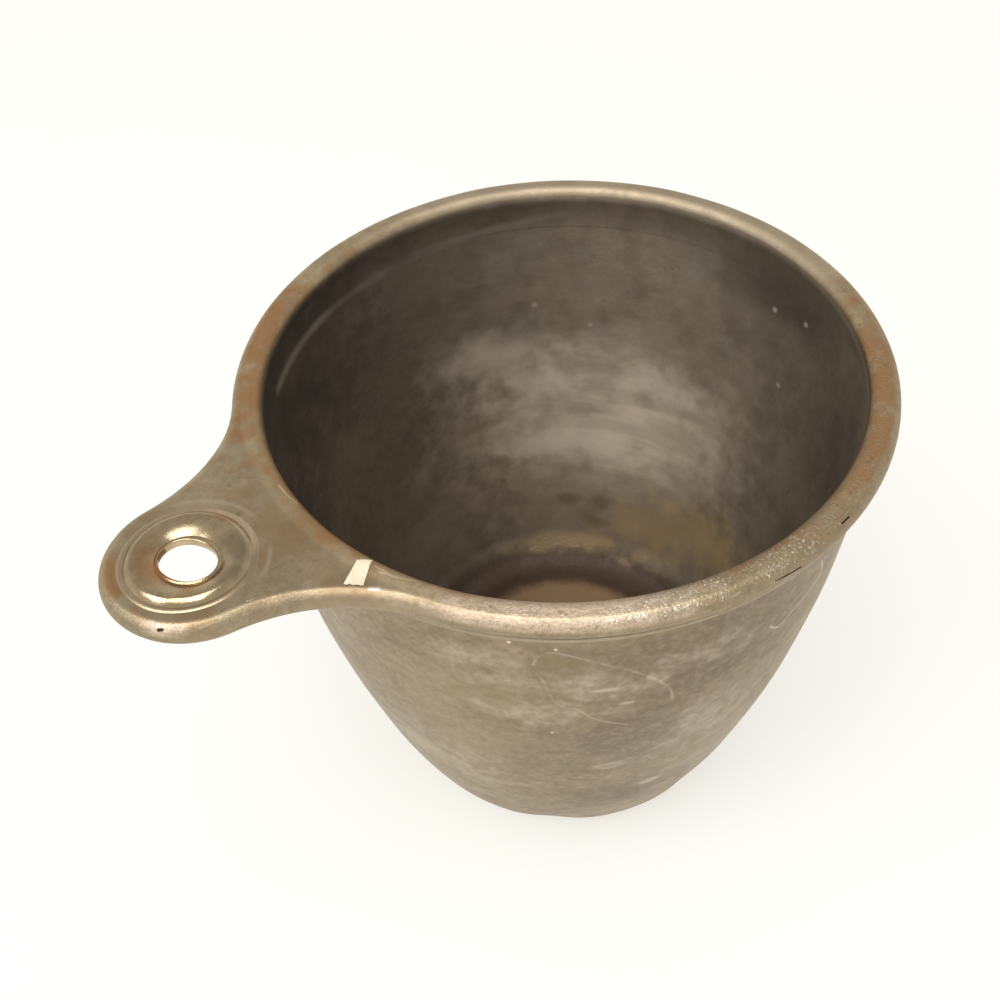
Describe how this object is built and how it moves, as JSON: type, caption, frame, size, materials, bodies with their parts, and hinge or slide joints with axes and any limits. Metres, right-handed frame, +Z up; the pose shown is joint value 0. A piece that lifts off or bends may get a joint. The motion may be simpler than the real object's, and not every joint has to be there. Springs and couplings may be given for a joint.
{
  "type": "dry measuring cup",
  "caption": "Round metal dry measuring cup with a tapered bowl, a wired bead round the rim, and a flat tab handle with a hanging eyelet.",
  "frame": {"origin": "middle of the flat base, on the surface that the cup stands on", "axes": "+X out along the handle, +Z up along the axis of the bowl, +Y across the handle"},
  "size_m": [0.0946, 0.0766, 0.0722],
  "materials": {
    "bowl_metal": "aged satin plate",
    "frame_metal": "aged satin plate with brown wear on the edges",
    "wire_metal": "drawn wire",
    "eyelet_metal": "smooth plate",
    "paper": "torn blank paper"
  },
  "bodies": {
    "root": {"bowl": "bowl_metal", "rim_handle_frame": "frame_metal", "rim_wire": "wire_metal", "hang_eyelet": "eyelet_metal"}
  },
  "joints": []
}
